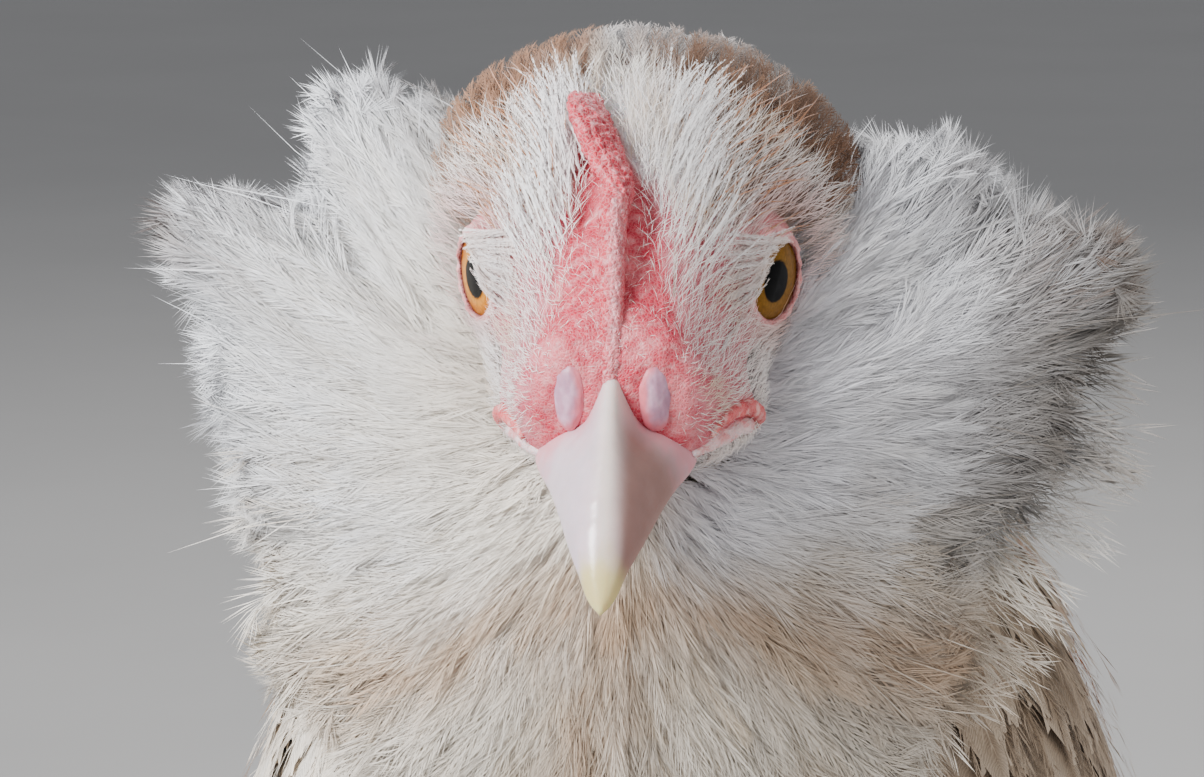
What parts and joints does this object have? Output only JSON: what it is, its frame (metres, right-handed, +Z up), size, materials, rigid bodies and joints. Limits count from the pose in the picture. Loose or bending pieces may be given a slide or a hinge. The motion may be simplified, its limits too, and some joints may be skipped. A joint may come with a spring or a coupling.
{
  "type": "faverolles hen",
  "caption": "Life-size still model of a standing bearded hen with side muffs, low single comb, full body and feathered shanks.",
  "frame": {"origin": "middle of the box round the bird, on the level that its feet stand on", "axes": "+Z up, the bird faces -Y, +X is the bird's left side"},
  "size_m": [0.204, 0.4114, 0.4184],
  "materials": {
    "cream_feather": "soft cream breast, belly and beard feathers",
    "salmon_feather": "matte salmon brown feathers with paler edges",
    "white_down": "soft white loose feathers",
    "face_skin": "rough pink face skin",
    "comb_skin": "red pebbled comb",
    "bill_horn": "pinkish white horn, satin gloss",
    "eye": "wet amber eye with a black pupil",
    "leg_scale": "pinkish white scaled skin"
  },
  "bodies": {
    "root": {"beard": "cream_feather", "bill_lower": "bill_horn", "bill_upper": "bill_horn", "claw_left_1": "bill_horn", "claw_left_2": "bill_horn", "claw_left_3": "bill_horn", "claw_left_4": "bill_horn", "claw_left_5": "bill_horn", "claw_right_1": "bill_horn", "claw_right_2": "bill_horn", "claw_right_3": "bill_horn", "claw_right_4": "bill_horn", "claw_right_5": "bill_horn", "comb": "comb_skin", "eye_left": "eye", "eye_right": "eye", "head": "face_skin", "muff_left": "white_down", "muff_right": "white_down", "neck": "salmon_feather", "shank_left": "leg_scale", "shank_right": "leg_scale", "tail": "salmon_feather", "thigh_left": "cream_feather", "thigh_right": "cream_feather", "toe_left_1": "leg_scale", "toe_left_2": "leg_scale", "toe_left_3": "leg_scale", "toe_left_4": "leg_scale", "toe_left_5": "leg_scale", "toe_right_1": "leg_scale", "toe_right_2": "leg_scale", "toe_right_3": "leg_scale", "toe_right_4": "leg_scale", "toe_right_5": "leg_scale", "torso": "cream_feather", "wing_left": "salmon_feather", "wing_right": "salmon_feather"}
  },
  "joints": []
}
